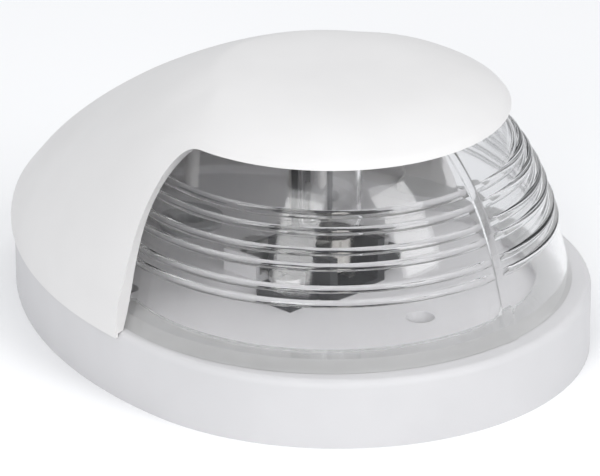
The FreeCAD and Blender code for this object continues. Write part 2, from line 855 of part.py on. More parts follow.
def lens_radius(z):
    """Outside radius at a height above the rim: a cone with a bulge and, higher up, a shoulder."""
    share = z / size("cap_under")
    # the 4 and the 27 / 4 make each hump's peak equal to its size
    bulge = size("lens_bulge") * 4 * share * (1 - share)
    shoulder = size("lens_shoulder") * 27 / 4 * share**2 * (1 - share)
    return size("lens_radius") * (1 - size("lens_taper") * share + bulge + shoulder)


def lens_bore(z):
    """Inside radius: the wall is measured level, so it widens where the lens leans over."""
    return lens_radius(z) - size("lens_wall") * (1 + size("lens_wall_growth") * z / size("cap_under"))


def lens_room(grow):
    """The lens's outer shape grown by a clearance, from below the rim up, for cutting the hood."""
    top = size("lens_top") + size("hood_gap")
    curve = wall_points(lambda z: lens_radius(z) + grow, 0.0, top, 3)
    corners = [
        curve[-1],
        Vector(0, 0, curve[-1].z),
        Vector(0, 0, 0),
        Vector(curve[0].x, 0, 0),
        curve[0],
    ]
    face = Part.Face(Part.Wire(Part.__sortEdges__(through(curve) + joined(corners))))
    room = face.revolve(Vector(), UP, 360)
    room.translate(Vector(size("axis_x"), 0, 0))
    return room


def through(points):
    """Edges of arcs, each through three successive points."""
    return [Part.Arc(*points[n : n + 3]).toShape() for n in range(0, len(points) - 2, 2)]


def wall_points(radius, low, high, arcs):
    """Points for arcs along a radius function, from low to high above the rim."""
    rim = size("rim_height")
    levels = [low + (high - low) * n / (2 * arcs) for n in range(2 * arcs + 1)]
    return [Vector(radius(z), 0, rim + z) for z in levels]


def joined(corners):
    return [Part.makeLine(*corners[n : n + 2]) for n in range(len(corners) - 1)]


def band_face(outer, inner, low, high):
    """Face in the XZ plane between two radius functions, from low to high above the rim."""
    outside = wall_points(outer, low, high, 3)
    inside = wall_points(inner, low, high, 3)
    ends = joined([outside[-1], inside[-1]]) + joined([outside[0], inside[0]])
    edges = through(outside) + through(inside) + ends
    return Part.Face(Part.Wire(Part.__sortEdges__(edges)))


def lens_face(gap):
    """The lens's section: foot, smooth wall and the six half-round beads outside it."""
    rim = size("rim_height")
    bead = size("bead_radius")
    edges = []
    low = gap
    for band in BEAD_BANDS:
        for z in (band, band + size("bead_pitch")):
            edges += through(wall_points(lens_radius, low, z - bead, 1))
            low = z + bead
            crest = Vector(lens_radius(z) + bead, 0, rim + z)
            ends = [Vector(lens_radius(level), 0, rim + level) for level in (z - bead, low)]
            edges += through([ends[0], crest, ends[1]])
    edges += through(wall_points(lens_radius, low, size("lens_top"), 1))
    foot_top = size("lens_foot_thick")
    inside = wall_points(lens_bore, foot_top, size("lens_top"), 3)
    edges += through(inside)
    top = Vector(lens_radius(size("lens_top")), 0, rim + size("lens_top"))
    edges += joined([top, inside[-1]])
    foot = size("lens_foot")
    corners = [
        inside[0],
        Vector(foot, 0, rim + foot_top),
        Vector(foot, 0, rim + gap),
        Vector(lens_radius(gap), 0, rim + gap),
    ]
    edges += joined(corners)
    return Part.Face(Part.Wire(Part.__sortEdges__(edges)))


def lens_half(hand):
    """One half lens, from the bond at the bow round to its after edge; hand is 1 to port."""
    gap = size("fit_gap")
    half = lens_face(gap).revolve(Vector(), UP, size("lens_sweep") * hand)
    proud = size("rib_proud")
    ribs = (
        (proud, size("cap_under") - size("hood_gap"), size("rib_half")),
        (size("rib_foot_proud"), size("rib_foot_height"), size("rib_foot_half")),
    )
    for stand, high, thick in ribs:
        face = band_face(
            lambda z, stand=stand: lens_radius(z) + stand, lambda z: lens_bore(z) - proud, gap, high
        )
        half = half.fuse(face.extrude(Vector(0, hand * thick, 0)))
    half.translate(Vector(size("axis_x"), 0, 0))
    return half


def make_lens():
    publish(feature("LensPort", lens_half(1)), "lens_port")
    publish(feature("LensStarboard", lens_half(-1)), "lens_starboard")


# --- build, test and write --------------------------------------------------------------------------


def failed(item):
    return any(word in ("Invalid", "Error") for word in item.State)


def main():
    make_base()
    make_gasket()
    make_seal()
    make_grommet()
    make_holder()
    make_terminal_block()
    make_contacts()
    make_fasteners()
    make_bulb()
    make_lens()
    make_hood()
    doc.recompute()
    for item in doc.Objects:
        if failed(item):
            raise RuntimeError("%s failed: %s" % (item.Name, item.State))
    os.makedirs("parts", exist_ok=True)
    for item in nodes:
        shape = item.Shape
        if shape.isNull() or not shape.isValid():
            raise RuntimeError(item.Label + " has no valid shape")
        shape.exportStep(os.path.join("parts", item.Label + ".step"))
        print("%-18s solids %d  volume %9.1f mm3" % (item.Label, len(shape.Solids), shape.Volume))


main()
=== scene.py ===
import bmesh
import bpy
import math
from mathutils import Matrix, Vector


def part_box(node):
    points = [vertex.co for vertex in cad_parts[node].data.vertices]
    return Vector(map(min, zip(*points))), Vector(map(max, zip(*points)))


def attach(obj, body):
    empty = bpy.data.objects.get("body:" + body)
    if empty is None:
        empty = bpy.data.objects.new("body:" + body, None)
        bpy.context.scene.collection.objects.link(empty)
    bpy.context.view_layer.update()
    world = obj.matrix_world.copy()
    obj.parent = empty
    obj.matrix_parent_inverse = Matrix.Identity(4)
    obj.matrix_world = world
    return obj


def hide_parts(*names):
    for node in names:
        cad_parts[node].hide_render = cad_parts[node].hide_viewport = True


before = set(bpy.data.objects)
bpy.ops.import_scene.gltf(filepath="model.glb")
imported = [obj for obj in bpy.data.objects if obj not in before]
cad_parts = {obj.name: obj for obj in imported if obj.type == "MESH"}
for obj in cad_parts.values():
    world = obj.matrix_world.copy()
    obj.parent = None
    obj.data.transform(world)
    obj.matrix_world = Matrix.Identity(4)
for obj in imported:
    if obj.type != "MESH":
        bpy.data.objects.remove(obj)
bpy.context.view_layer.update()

# A bow navigation light: a white hood and base, a clear lens in two bonded halves with moulded
# beads, and a festoon bulb in a dark holder. Metres, in the frame's axes: +X to the bow, +Y to
# port, +Z up. Heights of the cover, here and in the functions below, are above the base's rim.
MM = 0.001

# --- places and sizes that the frame gives --------------------------------------------------------

base_low, base_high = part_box("base")
glass_low, glass_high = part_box("bulb_glass")
filament_low, filament_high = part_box("bulb_filament")
floor_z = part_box("lamp_holder")[0].z            # the base's floor, inside

AXIS_X = (glass_low.x + glass_high.x) / 2       # lens and bulb axis
RIM_Z = base_high.z                             # top of the base's wall
HALF_WIDTH = base_high.y
FRONT_X = base_high.x - HALF_WIDTH              # centre of the base's bow half circle
TAIL_REACH = AXIS_X - base_low.x
DOME_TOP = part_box("hood")[1].z - RIM_Z

# --- the hood -------------------------------------------------------------------------------------

TAIL_RADIUS = 25.4 * MM              # of the outline's tail arc at the rim
SKIRT_PROUD = 0.65 * MM              # how far the skirt stands out past the base's wall
SKIRT_DROP = 0.6 * MM                # how far it hangs below the rim
SKIRT_STRAIGHT = 4.0 * MM            # height up to which it stands fully out
SKIRT_FADE = 6.0 * MM                # height over which it dies away above that
SIDE_DRAW = 0.318                    # share of the half width lost from the rim to the cap
SIDE_POWER = 1.757
TAIL_DRAW = 0.54                     # share of the tail's reach lost from the rim to the cap
TAIL_POWER = 1.704
CAP_UNDER = 28.8 * MM                # height of the cap's underside
CAP_EDGE = 1.15 * MM                 # thickness of the cap's upright edge
CAP_LEVEL = CAP_UNDER + CAP_EDGE
DOME_RISE = DOME_TOP - CAP_LEVEL
DOME_POWER = 3.6
DOME_BACK = 7.0 * MM                 # four times the most that the dome leans to the tail
SIDE_WALL = 1.8 * MM
EDGE_WALL = 1.3 * MM                 # what the wall gains along the hood's front edge
EDGE_SHARE = 0.9                     # share of the way there from the tail where the gain starts
TOP_WALL = 1.4 * MM                  # how much higher up the side the inside takes its outline
CUT_BACK = 7.2 * MM                  # the upright front edge's place, behind the lens axis
CUT_TURN = 12.0 * MM                 # height where it starts to turn forward
CUT_REACH = 7.0 * MM                 # how far forward it turns
CUT_POWER = 2.5                      # 2 would be an ellipse; more is fuller
HOOD_GAP = 0.1 * MM                  # between the hood and what it fits round
FIT_GAP = 0.05 * MM                  # between the cover and the rim it stands on
HOOD_BEVEL = 0.18 * MM
HOOD_SHARP = 50.0                    # degrees; edges under this stay smooth
CREASE_SOFT = 10.0 * MM              # reach of the shoulder's rounding at the tail, both ways
CREASE_EDGE = 4.0 * MM               # its reach upwards beside the front edges
CREASE_SHARP = 0.55 * MM             # its reach upwards at the bow
CREASE_LOW = 0.9 * CAP_EDGE          # its reach downwards beside the front edges
CREASE_FULL = 1.4                    # over 1, the rounding stays nearer its corner
CREASE_REAR = 0.35                   # shares of the way round over which that reach changes,
CREASE_FRONT = 0.5                   # behind the front edges and ahead of them
TAIL_STEPS = 170                     # stations round the hood, behind and ahead of the front edges
BOW_STEPS = 84
SKIRT_STEPS = 10                     # levels up to the front edge's curve, up that curve,
CUT_STEPS = 22                       # and from the shoulder to the top
DOME_RINGS = 30
DOME_CROWN = 0.03                    # size of the last ring, as a share of the cap's outline
DOME_CROWDING = 1.15                 # over 1, the rings crowd towards the shoulder

POSTS = ((-16.0 * MM, 24.0 * MM), (-31.5 * MM, 9.0 * MM))    # each has a twin on the other side
POST_RADIUS = 1.3 * MM
POST_SOFT = 0.25 * MM                # width of the small chamfers on post and peg
POST_BURY = 0.6 * MM                 # how far a post runs into the roof
POST_STEPS = 48
PEG_RADIUS = 0.9 * MM
PEG_DEPTH = 1.7 * MM

# --- the lens -------------------------------------------------------------------------------------

LENS_RADIUS = 38.0 * MM              # outside, at the rim
LENS_TAPER = 0.387                   # shares of that radius: what it loses up to the cap,
LENS_BULGE = 0.034                   # what it gains at mid height,
LENS_SHOULDER = 0.055                # and what it gains two thirds of the way up
LENS_WALL = 2.0 * MM
LENS_THICKENING = 0.5                # share by which the wall is thicker at the cap
LENS_TOP = 29.15 * MM
LENS_FOOT = 31.9 * MM                # inner radius of the foot flange
LENS_FOOT_THICK = 1.4 * MM
LENS_SWEEP = math.radians(112.5)     # from the bow to each after edge
LENS_ROOM = 0.1                      # radians past it where the hood still keeps clear
LENS_STEPS = 150                     # stations round each half
LENS_LOW_LEVELS = (1.8 * MM, 2.4 * MM, 3.4 * MM)    # above the foot flange
LENS_TOP_STEPS = 9                   # levels above the beads
LEVEL_STEP = 0.8 * MM                # about how far apart levels are between beads
BEAD_RADIUS = 0.55 * MM
BEAD_PITCH = 2.1 * MM                # between the two beads of a pair
BEAD_BANDS = (10.2 * MM, 15.4 * MM, 20.2 * MM)    # heights of the lower bead of each pair
BEAD_STEPS = 10                      # round a bead's half circle
RIB_HALF = 1.0 * MM                  # half width of the rib at the bow
RIB_PROUD = 0.1 * MM                 # how far it stands out of the wall
RIB_FOOT_HALF = 1.9 * MM             # the same two sizes at its foot
RIB_FOOT_PROUD = 0.25 * MM
RIB_FOOT_HEIGHT = 5.0 * MM
RIB_FOOT_FADE = 0.8 * MM             # above and below that height, where one turns into the other
RIB_FLAT = 0.55                      # share of the rib's half width that is flat
RIB_STEPS = 8                        # across its soft edge, and up its foot's fading
RIB_CLEAR = math.radians(4.4)        # where the beads start, from the middle plane
FACING = 0.9                         # dot product over which a face counts as facing a direction

# --- the bulb -------------------------------------------------------------------------------------

GLASS_WALL = 0.6 * MM
GLASS_STEPS = 72
GLASS_SHOULDER = 2.2 * MM            # height of the curve from the neck to the full radius
GLASS_SHOULDER_POWER = 1.6
GLASS_SHOULDER_STEPS = 12
NECK_STEP = 1.45 * MM                # how much smaller the neck's radius is
NECK_LENGTH = 3.0 * MM
COIL_WIRE = 0.09 * MM                # radius of the filament's wire
COIL_TURNS = 22
COIL_STEPS = 12                      # points in one turn
COIL_SIDES = 6                       # of the wire


# --- mesh helpers ---------------------------------------------------------------------------------


def make_piece(name, points, faces, sharp):
    """A mesh object with its normals outwards; edges over sharp degrees stay hard."""
    mesh = bpy.data.meshes.new(name)
    mesh.from_pydata(points, [], faces)
    work = bmesh.new()
    work.from_mesh(mesh)
    bmesh.ops.recalc_face_normals(work, faces=work.faces)
    work.to_mesh(mesh)
    work.free()
    mesh.shade_smooth()
    mesh.set_sharp_from_angle(angle=math.radians(sharp))
    piece = bpy.data.objects.new(name, mesh)
    bpy.context.scene.collection.objects.link(piece)
    return piece


def circle(x, y, z, radius, steps):
    """Points round a level circle."""
    turns = [math.tau * n / steps for n in range(steps)]
    return [Vector((x + radius * math.cos(t), y + radius * math.sin(t), z)) for t in turns]


class Builder:
    """Collects points and faces for one mesh."""

    def __init__(self):
        self.points = []
        self.faces = []

    def row(self, points):
        """Adds points and gives their numbers."""
        first = len(self.points)
        self.points.extend(points)
        return list(range(first, len(self.points)))

    def strip(self, low, high, closed=False):
        """Faces between two rows of points, which are rings if closed."""
        count = len(low) if closed else len(low) - 1
        for n in range(count):
            after = (n + 1) % len(low)
            self.faces.append((low[n], low[after], high[after], high[n]))

    def strips(self, rows, closed=False):
        """Strips between each row and the next."""
        for low, high in zip(rows, rows[1:]):
            self.strip(low, high, closed)

    def solid_tube(self, rings):
        """Joins rings into one closed body with a face at each end."""
        self.strips(rings, closed=True)
        self.faces.append(tuple(rings[0]))
        self.faces.append(tuple(rings[-1]))

    def finish(self, name, sharp):
        return make_piece(name, self.points, self.faces, sharp)


def spread(low, high, count):
    """Values from low to high in count equal steps, both ends included."""
    return [low + (high - low) * n / count for n in range(count + 1)]


def smooth_step(value):
    """0 up to 0 and 1 from 1, with a soft start and end between them."""
    value = min(1.0, max(0.0, value))
    return value * value * (3 - 2 * value)


# --- the hood's surfaces --------------------------------------------------------------------------


class Egg:
    """The light's outline at one level: a bow half circle, two flank arcs and a tail arc.

    The hood's front edges cut the flanks at edge_x. Angles are from +X.
    """

    def __init__(self, front_x, half, reach, edge_x):
        self.front_x = front_x
        self.half = half
        self.tail_radius = TAIL_RADIUS * half / HALF_WIDTH
        self.tail_x = AXIS_X - reach + self.tail_radius
        length = front_x - self.tail_x
        squares = length**2 + half**2 - self.tail_radius**2
        self.flank = squares / (2 * (half - self.tail_radius))
        self.turn = math.atan2(self.flank - half, -length)
        self.cut = math.acos((edge_x - front_x) / self.flank)

    def flank_point(self, angle):
        x = self.front_x + self.flank * math.cos(angle)
        y = self.half - self.flank + self.flank * math.sin(angle)
        return x, y

    def rear(self, share):
        """From the port cut, share 1, round the tail, share 0, to the starboard cut, share -1."""
        side = self.flank * (self.turn - self.cut)
        tail = self.tail_radius * (math.pi - self.turn)
        along = abs(share) * (side + tail)
        if along < tail:
            angle = math.pi - along / self.tail_radius
            x = self.tail_x + self.tail_radius * math.cos(angle)
            y = self.tail_radius * math.sin(angle)
        else:
            x, y = self.flank_point(self.turn - (along - tail) / self.flank)
        return x, math.copysign(y, share)

    def front(self, share):
        """From the port cut, share 1, round the bow, share 0, to the starboard cut, share -1."""
        side = self.flank * (self.cut - math.pi / 2)
        bow = self.half * math.pi / 2
        along = abs(share) * (side + bow)
        if along < bow:
            angle = along / self.half
            x = self.front_x + self.half * math.cos(angle)
            y = self.half * math.sin(angle)
        else:
            x, y = self.flank_point(math.pi / 2 + (along - bow) / self.flank)
        return x, math.copysign(y, share)


def cut_x(z):
    """The hood's front edge: upright, then a full curve forward to the cap's underside."""
    rise = (z - CUT_TURN) / (CAP_UNDER - CUT_TURN)
    if rise <= 0:
        return AXIS_X - CUT_BACK
    rise = min(1.0, rise)
    return AXIS_X - CUT_BACK + CUT_REACH * (1 - (1 - rise**CUT_POWER) ** (1 / CUT_POWER))


def skirt(z):
    """How far the skirt stands out at a height."""
    return SKIRT_PROUD * (1 - smooth_step((z - SKIRT_STRAIGHT) / SKIRT_FADE))


def side_egg(z, top_wall=0.0, side_wall=0.0):
    """The hood's outline at a height, outside or, with its walls given, inside."""
    share = min(1.0, max(0.0, (z + top_wall) / CAP_LEVEL))
    half = HALF_WIDTH * (1 - SIDE_DRAW * share**SIDE_POWER) + skirt(z) - side_wall
    reach = TAIL_REACH * (1 - TAIL_DRAW * share**TAIL_POWER) + skirt(z) - side_wall
    return Egg(AXIS_X + (FRONT_X - AXIS_X) * (1 - share), half, reach, cut_x(z))


def dome_egg(step, side_wall=0.0):
    """The cap's outline shrunk by step towards its top."""
    half = HALF_WIDTH * (1 - SIDE_DRAW) - side_wall
    reach = TAIL_REACH * (1 - TAIL_DRAW) - side_wall
    lean = DOME_BACK * step * (1 - step)
    cut = AXIS_X + (cut_x(CAP_UNDER) - AXIS_X) * step
    return Egg(AXIS_X, half * step, reach * step + lean, cut)


def dome_height(step):
    return DOME_RISE * (1 - step**DOME_POWER)


def rounded(line, crease, below, above):
    """The polyline with the corner at index crease rounded, that far below and above it."""
    lengths = [0.0]
    for low, high in zip(line, line[1:]):
        lengths.append(lengths[-1] + (high - low).length)
    lengths = [length - lengths[crease] for length in lengths]

    def at(distance):
        """The point at a distance along the line from its corner."""
        for n in range(len(line) - 1):
            if lengths[n] <= distance <= lengths[n + 1]:
                share = (distance - lengths[n]) / (lengths[n + 1] - lengths[n])
                return line[n].lerp(line[n + 1], share)
        return line[0] if distance < 0 else line[-1]

    start = at(-below)
    corner = line[crease]
    end = at(above)
    result = []
    for point, distance in zip(line, lengths):
        if -below < distance < above:
            reach = below if distance < 0 else above
            share = 0.5 + 0.5 * distance / reach
            pulls = ((1 - share) ** 2, 2 * CREASE_FULL * share * (1 - share), share**2)
            point = (start * pulls[0] + corner * pulls[1] + end * pulls[2]) / sum(pulls)
        result.append(point)
    return result


# levels up the hood's side, closer together where its front edge turns forward
CUT_LEVELS = [
    CUT_TURN + (CAP_UNDER - CUT_TURN) * math.sin(turn) ** (2 / CUT_POWER)
    for turn in spread(0.0, math.pi / 2, CUT_STEPS)[1:]
]
SIDE_LEVELS = [-SKIRT_DROP, FIT_GAP] + spread(2 * SKIRT_DROP, CUT_TURN, SKIRT_STEPS) + CUT_LEVELS
# levels up the cap's upright edge, closer together near its corner
BAND_LEVELS = [CAP_UNDER + CAP_EDGE * share for share in (0.45, 0.8, 1.0)]
RINGS = [
    1 - (1 - DOME_CROWN) * (n / DOME_RINGS) ** DOME_CROWDING
    for n in range(1, DOME_RINGS + 1)
]
REAR_SHARES = [math.sin(math.pi / 2 * share) for share in spread(-1.0, 1.0, TAIL_STEPS)]
FRONT_SHARES = spread(-1.0, 1.0, BOW_STEPS)[1:-1]


def crease_reach(share, rear):
    """How far the shoulder's rounding reaches below and above it: most at the tail."""
    if rear:
        softness = smooth_step((1 - abs(share)) / CREASE_REAR)
        below = CREASE_LOW + (CREASE_SOFT - CREASE_LOW) * softness
        return below, CREASE_EDGE + (CREASE_SOFT - CREASE_EDGE) * softness
    softness = smooth_step((abs(share) - 1 + CREASE_FRONT) / CREASE_FRONT)
    above = CREASE_SHARP + (CREASE_EDGE - CREASE_SHARP) * softness
    return min(above, CREASE_LOW), above


def outer_column(share, rear):
    """Points up the hood's outside from the skirt, or from the cap's underside, to near the top."""
    along = Egg.rear if rear else Egg.front
    line = []
    for z in (SIDE_LEVELS if rear else [CAP_UNDER]) + BAND_LEVELS:
        x, y = along(side_egg(z), share)
        line.append(Vector((x, y, RIM_Z + z)))
    crease = len(line) - 1
    for step in RINGS:
        x, y = along(dome_egg(step), share)
        line.append(Vector((x, y, RIM_Z + CAP_LEVEL + dome_height(step))))
    return rounded(line, crease, *crease_reach(share, rear))


def clear_of_lens(x, y, z):
    """Moves a point of the hood's inside outwards where the lens stands behind its front edge."""
    radius = math.hypot(x - AXIS_X, y)
    turn = abs(math.atan2(y, x - AXIS_X))
    room = lens_radius(z) + BEAD_RADIUS + 2 * HOOD_GAP
    if z > CAP_UNDER - MM or radius >= room or turn > LENS_SWEEP + LENS_ROOM:
        return x, y
    return AXIS_X + (x - AXIS_X) * room / radius, y * room / radius


def inner_column(share, rear):
    """Points up the hood's inside, from the rim or from the cap's underside, to near the top."""
    along = Egg.rear if rear else Egg.front
    wall = SIDE_WALL + EDGE_WALL * smooth_step((abs(share) - EDGE_SHARE) / (1 - EDGE_SHARE))
    line = []
    for z in SIDE_LEVELS[1:-1] if rear else []:
        x, y = clear_of_lens(*along(side_egg(z, TOP_WALL, wall), share), z)
        line.append(Vector((x, y, RIM_Z + z)))
    for step in [1.0] + RINGS:
        x, y = along(dome_egg(step, SIDE_WALL), share)
        line.append(Vector((x, y, RIM_Z + CAP_UNDER + dome_height(step))))
    return line


def lip_column(share):
    """The step under the skirt that drops over the base's rim."""
    points = []
    for z in (-SKIRT_DROP, FIT_GAP):
        x, y = Egg(FRONT_X, HALF_WIDTH + HOOD_GAP, TAIL_REACH + HOOD_GAP, cut_x(z)).rear(share)
        points.append(Vector((x, y, RIM_Z + z)))
    return points


def level_rows(build, columns):
    """Adds columns of points and gives their numbers as rows, one for each level."""
    return [list(row) for row in zip(*[build.row(column) for column in columns])]


def hood_shell(build):
    """The hood's skin, outside and inside, and the edges that join them."""
    outer_rear = level_rows(build, [outer_column(share, True) for share in REAR_SHARES])
    inner_rear = level_rows(build, [inner_column(share, True) for share in REAR_SHARES])
    lip = level_rows(build, [lip_column(share) for share in REAR_SHARES])
    outer_front = level_rows(build, [outer_column(share, False) for share in FRONT_SHARES])
    inner_front = level_rows(build, [inner_column(share, False) for share in FRONT_SHARES])

    # the side behind the front edges, then the cap all the way round
    sides = len(SIDE_LEVELS) - 1
    build.strips(outer_rear[: sides + 1])
    build.strips(inner_rear[:sides])
    outer_cap = [rear + front[::-1] for rear, front in zip(outer_rear[sides:], outer_front)]
    inner_cap = [rear + front[::-1] for rear, front in zip(inner_rear[sides - 1 :], inner_front)]
    for rings in (outer_cap, inner_cap):
        build.strips(rings, closed=True)
        build.faces.append(tuple(rings[-1]))

    # under the skirt, up the two front edges and under the cap
    build.strips([outer_rear[0], lip[0], lip[1], inner_rear[0]])
    edges = [
        (outer_rear[0], outer_rear[1], lip[1], lip[0]),
        (outer_rear[1], outer_rear[2], inner_rear[1], inner_rear[0], lip[1]),
    ]
    for n in range(2, sides):
        edges.append((outer_rear[n], outer_rear[n + 1], inner_rear[n], inner_rear[n - 1]))
    for end in (0, -1):
        for rows in edges:
            build.faces.append(tuple(row[end] for row in rows))
    outside = [outer_rear[sides][0], *outer_front[0], outer_rear[sides][-1]]
    inside = [inner_rear[sides - 1][0], *inner_front[0], inner_rear[sides - 1][-1]]
    build.strip(outside, inside)


def make_hood():
    """The hood, its edges softened by a small bevel."""
    build = Builder()
    hood_shell(build)
    hood = build.finish("hood_shell", sharp=HOOD_SHARP)
    bevel = hood.modifiers.new("edge", "BEVEL")
    bevel.width = HOOD_BEVEL
    bevel.segments = 2
    bevel.limit_method = "ANGLE"
    bevel.angle_limit = math.radians(HOOD_SHARP)
    return hood


def make_posts(hood):
    """Four moulded posts with pegs, from the base's floor up into the hood's roof."""
    foot = floor_z + HOOD_GAP
    tip = foot - PEG_DEPTH
    bpy.context.view_layer.update()
    build = Builder()
    for x, y_side in POSTS:
        for y in (y_side, -y_side):
            _, roof, _, _ = hood.ray_cast(Vector((x, y, foot)), Vector((0, 0, 1)))
            profile = [
                (PEG_RADIUS - POST_SOFT, tip),
                (PEG_RADIUS, tip + POST_SOFT),
                (PEG_RADIUS, foot),
                (POST_RADIUS - POST_SOFT, foot),
                (POST_RADIUS, foot + POST_SOFT),
                (POST_RADIUS, roof.z + POST_BURY),
            ]
            rings = [build.row(circle(x, y, z, radius, POST_STEPS)) for radius, z in profile]
            build.solid_tube(rings)
    return build.finish("hood_posts", sharp=35.0)


# --- the lens's surfaces --------------------------------------------------------------------------


def plain(heights):
    """Levels without a bead."""
    return [(z, 0.0) for z in heights]


def lens_levels():
    """Heights and bead offsets up the lens's outside, in order."""
    low = RIB_FOOT_HEIGHT + RIB_FOOT_FADE
    levels = plain([FIT_GAP, LENS_FOOT_THICK, *LENS_LOW_LEVELS])
    levels += plain(spread(RIB_FOOT_HEIGHT - RIB_FOOT_FADE, low, RIB_STEPS))
    for band in BEAD_BANDS:
        for centre in (band, band + BEAD_PITCH):
            start = centre - BEAD_RADIUS
            count = max(1, round((start - low) / LEVEL_STEP))
            levels += plain(spread(low, start, count)[1:])
            for turn in spread(0, math.pi, BEAD_STEPS)[1:-1]:
                z = centre - BEAD_RADIUS * math.cos(turn)
                levels.append((z, BEAD_RADIUS * math.sin(turn)))
            low = centre + BEAD_RADIUS
            levels.append((low, 0.0))
    return levels + plain(spread(low, LENS_TOP, LENS_TOP_STEPS)[1:])


def lens_radius(z):
    """The outside's radius. The bulge peaks at half height and the shoulder at two thirds."""
    share = z / CAP_UNDER
    bulge = LENS_BULGE * 4 * share * (1 - share)
    shoulder = LENS_SHOULDER * 27 / 4 * share**2 * (1 - share)
    return LENS_RADIUS * (1 - LENS_TAPER * share + bulge + shoulder)


def lens_bore(z):
    return lens_radius(z) - LENS_WALL * (1 + LENS_THICKENING * z / CAP_UNDER)


def rib_size(z, main, foot):
    """One of the rib's sizes at a height, changing softly from its foot's to its own."""
    return foot + (main - foot) * smooth_step((z - RIB_FOOT_HEIGHT) / (2 * RIB_FOOT_FADE) + 0.5)


def rib_half(z):
    return rib_size(z, RIB_HALF, RIB_FOOT_HALF)


def lens_column(place, levels, stand):
    """Outside then inside points at one station. place gives (x, y) from a radius and height.

    stand is the share of the rib's height there, or None off the rib, where the beads run.
    """
    outside = []
    inside = []
    for n, (z, bead) in enumerate(levels):
        proud = bead if stand is None else stand * rib_size(z, RIB_PROUD, RIB_FOOT_PROUD)
        outside.append((lens_radius(z) + proud, z))
        if n < 2:
            inside.append((LENS_FOOT, z))
        else:
            level = LENS_FOOT_THICK if n == 2 else z
            inside.append((lens_bore(level), level))
    points = []
    for radius, z in outside + inside:
        x, y = place(radius, z)
        points.append(Vector((AXIS_X + x, y, RIM_Z + z)))
    return points


def beside(share, hand):
    """Places points at a share of the rib's half width from the middle plane."""

    def place(radius, z):
        y = rib_half(z) * share * hand
        return math.sqrt(radius * radius - y * y), y

    return place


def turned(angle):
    """Places points at an angle from the bow."""
    return lambda radius, z: (radius * math.cos(angle), radius * math.sin(angle))


def lens_stations(hand):
    """From the rib at the bow, with its soft edge, round to the after edge."""
    stations = []
    for share in spread(RIB_FLAT, 1.0, RIB_STEPS):
        stand = 1 - smooth_step((share - RIB_FLAT) / (1 - RIB_FLAT))
        stations.append((beside(share, hand), stand))
    for angle in spread(RIB_CLEAR, LENS_SWEEP, LENS_STEPS):
        stations.append((turned(angle * hand), None))
    return stations


def after_edge_faces(side):
    """The direction that an after edge of the lens faces, on the side that side's sign names."""
    turn = math.copysign(LENS_SWEEP, side)
    return Vector((-math.sin(turn), math.cos(turn), 0))


def make_lens():
    """Both halves, bonded along the rib at the bow into one clear piece.

    The faces that meet the seal and the hood, below and at the after edges, take its second
    material, an opaque grey: painted light and shade that stands in for the seal and the hood
    seen through the clear lens.
    """
    levels = lens_levels()
    stations = lens_stations(1)[::-1] + lens_stations(-1)
    build = Builder()
    columns = [build.row(lens_column(place, levels, stand)) for place, stand in stations]
    count = len(levels)
    ring = list(range(count)) + list(range(2 * count - 1, count - 1, -1))
    for before, after in zip(columns, columns[1:]):
        build.strip([before[n] for n in ring], [after[n] for n in ring], closed=True)
    for end in (columns[0], columns[-1]):
        build.strip(end[:count], end[count:])
    lens = build.finish("lens_bonded", sharp=40.0)
    for face in lens.data.polygons:
        under = face.normal.z < -FACING and face.center.z < RIM_Z + 2 * FIT_GAP
        aligned = abs(face.normal.dot(after_edge_faces(face.center.y)))
        after = aligned > FACING and face.center.x < AXIS_X
        face.material_index = int(under or after)
    return lens


# --- the bulb's surfaces --------------------------------------------------------------------------


def make_bulb_glass():
    """Thin tube with drawn-in shoulders; its necks run into the two caps."""
    low = glass_low.z
    high = glass_high.z
    radius = (glass_high.x - glass_low.x) / 2
    neck = radius - NECK_STEP
    outside = [(neck, low), (neck, low + NECK_LENGTH)]
    for share in spread(0, 1, GLASS_SHOULDER_STEPS)[1:]:
        widening = NECK_STEP * math.sin(share * math.pi / 2)
        height = NECK_LENGTH + GLASS_SHOULDER * share**GLASS_SHOULDER_POWER
        outside.append((neck + widening, low + height))
    outside += [(r, high + low - z) for r, z in reversed(outside)]
    inside = [(r - GLASS_WALL, z) for r, z in reversed(outside)]
    build = Builder()
    rings = [build.row(circle(AXIS_X, 0, z, r, GLASS_STEPS)) for r, z in outside + inside]
    build.strips(rings + rings[:1], closed=True)
    return build.finish("bulb_glass_tube", sharp=40.0)


def wire_rings(build, line, radius, sides):
    """Rings of points for a round wire along a line."""
    rings = []
    for n, point in enumerate(line):
        before = line[max(0, n - 1)]
        after = line[min(len(line) - 1, n + 1)]
        run = (after - before).normalized()
        across = run.cross(Vector((0.3, 0.2, 1.0))).normalized() * radius
        up = run.cross(across)
        turns = [math.tau * k / sides for k in range(sides)]
        rings.append(build.row([point + across * math.cos(t) + up * math.sin(t) for t in turns]))
    return rings


def make_filament():
    """The coil that the plain CAD rod stands for."""
    radius = (filament_high.x - filament_low.x) / 2 - COIL_WIRE
    line = []
    for share in spread(0, 1, COIL_TURNS * COIL_STEPS):
        turn = math.tau * COIL_TURNS * share
        height = filament_low.z + (filament_high.z - filament_low.z) * share
        line.append(Vector((AXIS_X + radius * math.cos(turn), radius * math.sin(turn), height)))
    build = Builder()
    build.solid_tube(wire_rings(build, line, COIL_WIRE, COIL_SIDES))
    return build.finish("filament_coil", sharp=60.0)


# --- materials ------------------------------------------------------------------------------------

NOISE_LOW = 0.3                      # noise values that map to the two ends of a range
NOISE_HIGH = 0.7


